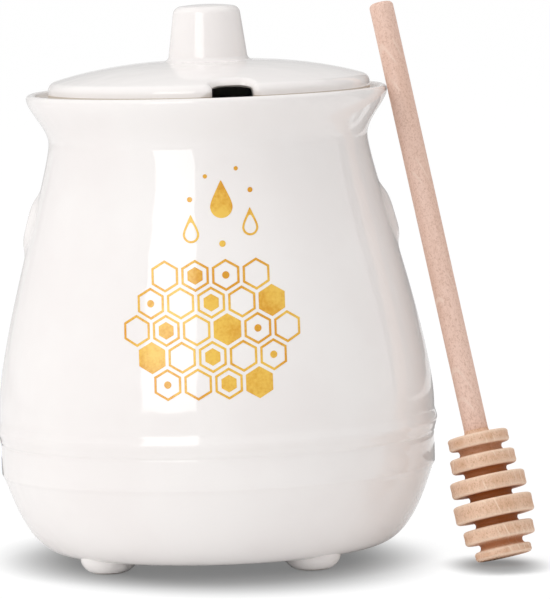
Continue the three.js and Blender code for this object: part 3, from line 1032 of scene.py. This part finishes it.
# Soft shades on the floor: centre from the pot's axis, half widths where half gone, depth,
# and the shares of the half widths where the fall begins and ends. The dipper's shade is
# there only while something stands within its reach.
floorShades = (
    {"centre": (-1.9, -2.4), "half": (41.4, 53.2), "depth": 0.434, "fall": (0.7, 1.385), "reach": 0},
    {"centre": (65, -31), "half": (8.8, 15.1), "depth": 0.39, "fall": (0.37, 1.63), "reach": 19 * mm},
)
# Softboxes: azimuth in degrees from straight ahead, to the right; lengths in metres
lampLooks = {
    "key": {"azimuth": -52, "distance": 1.3, "low": 0.14, "high": 1.1, "width": 0.7, "power": 6.2},
    "strip": {"azimuth": -24.4, "distance": 1.3, "low": 0.14, "high": 1.08, "width": 0.68, "power": 6.2},
    "fill": {"azimuth": 60, "distance": 2.2, "low": 0.3, "high": 1.6, "width": 1.2, "power": 2.4},
}
topLook = {"height": 1.5, "size": 0.9, "power": 5}
# Grey cards that only the glaze's reflections see
cardLooks = {
    "side": {"azimuth": 138, "distance": 1.2, "low": 0, "high": 1.2, "width": 1.4, "shade": 0.25},
    "back": {"azimuth": 180, "distance": 2.4, "low": 0.25, "high": 2, "width": 3.6, "shade": 0.62},
}
lowCardLook = {
    "near": 0.14, "far": 0.5, "left": -0.1, "right": 0.8, "shade": 0.25,
    "brightFrom": 236, "brightTo": 288, "bright": 0.95,  # a light stripe on it, seen in the band's end
}


def makeCamera():
    s = stageLook
    target = potAxis + Vector(s["target"]) * mm
    pitch = radians(s["pitch"])
    back = Vector((0, -cos(pitch), sin(pitch)))
    camera = bpy.data.objects.new("camera", bpy.data.cameras.new("camera"))
    bpy.context.scene.collection.objects.link(camera)
    camera.location = target + back * s["distance"] * mm
    camera.rotation_mode = "QUATERNION"
    straight = (-back).to_track_quat("-Z", "Y")
    camera.rotation_quaternion = straight @ Quaternion((0, 0, 1), -radians(s["roll"]))
    camera.data.lens, camera.data.sensor_width = s["lens"], s["sensor"]
    camera.data.clip_start, camera.data.clip_end = s["clip"]
    bpy.context.scene.camera = camera


def standUp(obj, look):
    # an upright rectangle that faces the pot
    angle = radians(look["azimuth"])
    away = Vector((sin(angle), -cos(angle), 0)) * look["distance"]
    obj.location = potAxis + away + Vector((0, 0, (look["low"] + look["high"]) / 2))
    obj.rotation_euler = (pi / 2, 0, angle)


def addLamp(name, power):
    lamp = bpy.data.objects.new(name, bpy.data.lights.new(name, "AREA"))
    bpy.context.scene.collection.objects.link(lamp)
    lamp.data.energy = power
    return lamp


def addSoftbox(name):
    look = lampLooks[name]
    lamp = addLamp(name, look["power"])
    lamp.data.shape = "RECTANGLE"
    lamp.data.size, lamp.data.size_y = look["width"], look["high"] - look["low"]
    standUp(lamp, look)
    return lamp


def addTopLight():
    lamp = addLamp("top", topLook["power"])
    lamp.data.size = topLook["size"]
    lamp.location = potAxis + Vector((0, 0, topLook["height"]))
    lamp.visible_glossy = False


def addCard(name, shade):
    bpy.ops.mesh.primitive_plane_add(size=1)
    card = bpy.context.object
    card.name = name + "Card"
    material, tree, shader = newMaterial(name + "Card")
    feed(tree, shader, {
        "Base Color": (0, 0, 0, 1), "Specular IOR Level": 0,
        "Emission Color": (1, 1, 1, 1), "Emission Strength": shade,
    })
    card.data.materials.append(material)
    card.visible_camera = card.visible_diffuse = card.visible_shadow = False
    return card


def addCards():
    for name, look in cardLooks.items():
        card = addCard(name, look["shade"])
        card.scale = (look["width"], look["high"] - look["low"], 1)
        standUp(card, look)
    look = lowCardLook
    low = addCard("low", look["shade"])
    low.scale = (look["right"] - look["left"], look["far"] - look["near"], 1)
    middle = ((look["left"] + look["right"]) / 2, (look["near"] + look["far"]) / 2, mm)
    low.location = potAxis + Vector(middle)
    tree = low.active_material.node_tree
    place = addNode(tree, "NewGeometry", {})["Position"]
    far = addNode(tree, "VectorMath", {0: place, 1: potAxis}, operation="DISTANCE")["Value"]
    stripe = bandMask(tree, far, look["brightFrom"], look["brightTo"])
    glow = mapRange(tree, stripe, 0, 1, look["shade"], look["bright"])
    feed(tree, tree.nodes["Principled BSDF"], {"Emission Strength": glow})


def openness(tree, reach):
    # one where nothing stands over the floor within the reach, less where something does
    return addNode(tree, "AmbientOcclusion", {"Distance": reach}, samples=stageLook["samples"])["AO"]


def floorShade(tree, place, look):
    # what is left of the floor's light at a point, softly less inside an ellipse
    s = stageLook
    middle = potAxis + Vector((*look["centre"], 0)) * mm
    across = mathNode(tree, "SUBTRACT", place["X"], middle.x)
    along = mathNode(tree, "SUBTRACT", place["Y"], middle.y)
    along = mathNode(tree, "MULTIPLY_ADD", across, s["shadeSlope"], along)
    squares = []
    for distance, half in zip((across, along), look["half"]):
        share = mathNode(tree, "DIVIDE", distance, half * mm)
        squares.append(mathNode(tree, "MULTIPLY", share, share))
    far = mathNode(tree, "SQRT", mathNode(tree, "ADD", *squares))
    depth = mapRange(tree, far, *look["fall"], look["depth"], 0)
    if look["reach"]:
        near = mapRange(tree, openness(tree, look["reach"]), *s["nearSpan"], 1, 0)
        depth = mathNode(tree, "MULTIPLY", depth, near)
    return mathNode(tree, "POWER", mathNode(tree, "SUBTRACT", 1, depth), s["toneCurve"])


def makeWorld():
    # white to the camera and in reflections, a little less as light
    world = bpy.context.scene.world or bpy.data.worlds.new("studio")
    bpy.context.scene.world = world
    world.use_nodes = True
    tree = world.node_tree
    tree.nodes.clear()
    rays = addNode(tree, "LightPath", {})
    mirrored = mathNode(tree, "MAXIMUM", rays["Is Glossy Ray"], rays["Is Transmission Ray"])
    seen = mathNode(tree, "MAXIMUM", rays["Is Camera Ray"], mirrored)
    light = addNode(tree, "Background", {"Strength": stageLook["world"]})[0]
    white = addNode(tree, "Background", {"Strength": 1})[0]
    mix = addNode(tree, "MixShader", {0: seen, 1: light, 2: white})[0]
    addNode(tree, "OutputWorld", {"Surface": mix})


def makeFloor():
    s = stageLook
    bpy.ops.mesh.primitive_plane_add(size=s["floorSize"], location=(0, 0, -s["floorDrop"]))
    floor = bpy.context.object
    floor.name = "floor"
    material, tree, shader = newMaterial("paleFloor")
    share, clear = s["shadeShare"], openness(tree, s["shadeReach"])
    left = mathNode(tree, "MULTIPLY_ADD", clear, share, 1 - share)
    place = addNode(tree, "SeparateXYZ", {0: addNode(tree, "TexCoord", {})["Object"]})
    for look in floorShades:
        left = mathNode(tree, "MULTIPLY", left, floorShade(tree, place, look))
    seen = addNode(tree, "LightPath", {})["Is Camera Ray"]
    glow = mathNode(tree, "MULTIPLY", left, s["floorGlow"])
    feed(tree, shader, {
        "Base Color": mixColour(tree, seen, s["floorPale"], s["floorLit"]),
        "Roughness": s["floorRough"], "Specular IOR Level": 0,
        "Emission Color": (1, 1, 1, 1), "Emission Strength": mathNode(tree, "MULTIPLY", glow, seen),
    })
    floor.data.materials.append(material)


def makeStage():
    bpy.context.scene.view_settings.view_transform = "Standard"
    makeWorld()
    makeFloor()
    addSoftbox("key").visible_glossy = False
    addSoftbox("strip").visible_diffuse = False
    addSoftbox("fill").visible_glossy = False
    addTopLight()
    addCards()


makeCamera()
makeStage()
print("stage set")
potBody = makePot()
feet = makeFeet()
print("pot and feet made")
lidBody = makeLid()
lidRing = makeLidRing()
print("lid made")
dipperHandle, dipperHead = makeDipper()
print("dipper made")
comb, drops = makePrint()
print("gold print laid on the wall")

dress([potBody, *feet, lidBody, lidRing], glazeMaterial())
dress([dipperHandle], woodMaterial("beechHandle", woodLook["handle"]))
dress([dipperHead], woodMaterial("beechHead", woodLook["head"]))
dress([comb, drops], goldMaterial())
print("materials on")
